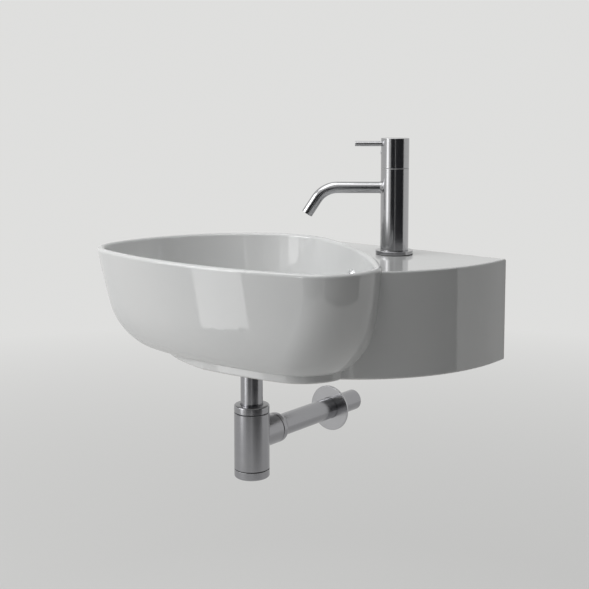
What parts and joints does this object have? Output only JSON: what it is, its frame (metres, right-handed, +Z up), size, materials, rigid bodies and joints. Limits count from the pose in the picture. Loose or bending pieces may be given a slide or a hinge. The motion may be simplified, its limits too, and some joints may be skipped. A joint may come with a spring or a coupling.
{
  "type": "wall hung basin",
  "caption": "Wall hung ceramic basin: rounded triangular bowl on a flat-topped block, with a single lever pillar tap, click waste and bottle trap.",
  "frame": {"origin": "on the wall plane, midway between the two wall bolts, in the vertical plane of the drain", "axes": "+X along the wall to the right as the user faces it, +Y into the wall, +Z up"},
  "size_m": [0.5173, 0.3984, 0.4858],
  "materials": {
    "glaze": "glossy white glaze",
    "disc_ceramic": "lapped",
    "satin_steel": "satin brushed round the axis",
    "trap_steel": "satin brushed round the axis",
    "bright_chrome": "polished",
    "fixing_steel": "zinc plated",
    "raw_brass": "turned",
    "black_rubber": "matt",
    "white_plastic": "matt",
    "dark_plastic": "matt",
    "spring_steel": "bright wire"
  },
  "bodies": {
    "basin": {"basin_ceramic": "glaze", "overflow_ring": "bright_chrome", "wall_sleeves": "white_plastic", "wall_washers": "fixing_steel", "wall_nuts": "fixing_steel", "waste_body": "bright_chrome", "waste_top_seal": "black_rubber", "waste_bottom_seal": "black_rubber", "waste_back_nut": "raw_brass", "click_sleeve": "white_plastic", "plug_spring": "spring_steel", "inlet_nut": "trap_steel", "inlet_washer": "black_rubber", "inlet_tube": "trap_steel", "collar_nut": "trap_steel", "collar_seal": "black_rubber", "trap_bottle": "trap_steel", "cup_seal": "black_rubber", "trap_cup": "trap_steel", "outlet_nut": "trap_steel", "outlet_seal": "black_rubber", "outlet_pipe": "trap_steel", "wall_rosette": "trap_steel", "rosette_seal": "black_rubber", "base_seal": "black_rubber", "base_ring": "satin_steel", "tap_body": "satin_steel", "tap_spout": "satin_steel", "aerator_housing": "bright_chrome", "aerator_insert": "dark_plastic", "cartridge_shell": "dark_plastic", "fixed_disc": "disc_ceramic", "cartridge_nut": "raw_brass", "glide_ring": "white_plastic", "tap_stud": "fixing_steel", "clamp_seal": "black_rubber", "clamp_plate": "fixing_steel", "clamp_nut": "raw_brass"},
    "tap_head": {"tap_head": "satin_steel", "tap_lever": "satin_steel", "head_screw": "fixing_steel", "index_cap": "bright_chrome", "cartridge_stem": "raw_brass", "turning_disc": "disc_ceramic"},
    "plug": {"plug_cap": "bright_chrome", "plug_seal": "black_rubber", "plug_stem": "raw_brass"}
  },
  "joints": [
    {"name": "head_turn", "type": "hinge", "parent": "basin", "child": "tap_head", "pos_m": [0.1554, -0.0556, 0.19], "axis": [0, 0, 1], "range_deg": [0, 100]},
    {"name": "plug_push", "type": "slide", "parent": "basin", "child": "plug", "axis": [0, 0, 1], "range_m": [-0.008, 0], "stiffness_N_per_m": 300, "springref_m": 0.02, "deforming": ["plug_spring"]}
  ]
}
